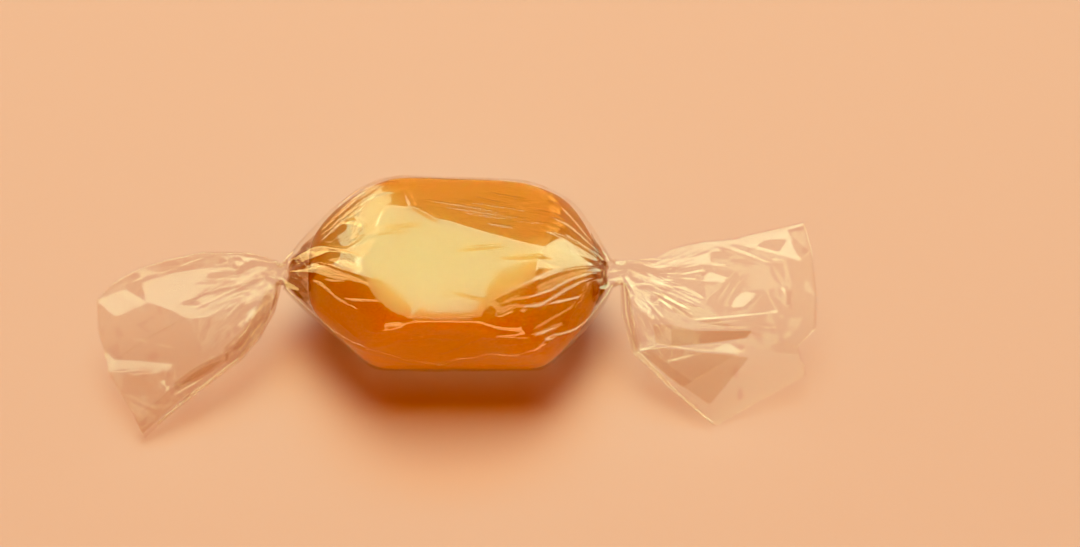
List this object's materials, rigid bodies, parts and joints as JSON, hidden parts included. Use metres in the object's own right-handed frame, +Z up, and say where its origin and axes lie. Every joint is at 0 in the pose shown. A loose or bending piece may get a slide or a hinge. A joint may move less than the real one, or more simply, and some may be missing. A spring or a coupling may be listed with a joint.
{
  "type": "honey taffy chew",
  "caption": "Amber barrel-shaped honey chew in a clear film wrap, gathered into a twisted neck at each end and spread into wrinkled flat tails.",
  "frame": {"origin": "on the flat resting face, under the middle of the sweet", "axes": "+X along the length, +Z up, -Y towards the viewer's side, where the tails come down to the surface"},
  "size_m": [0.068, 0.0238, 0.0152],
  "materials": {
    "amber_sweet": "gloss",
    "clear_film": "gloss"
  },
  "bodies": {
    "root": {"sweet": "amber_sweet", "wrapper": "clear_film"}
  },
  "joints": []
}
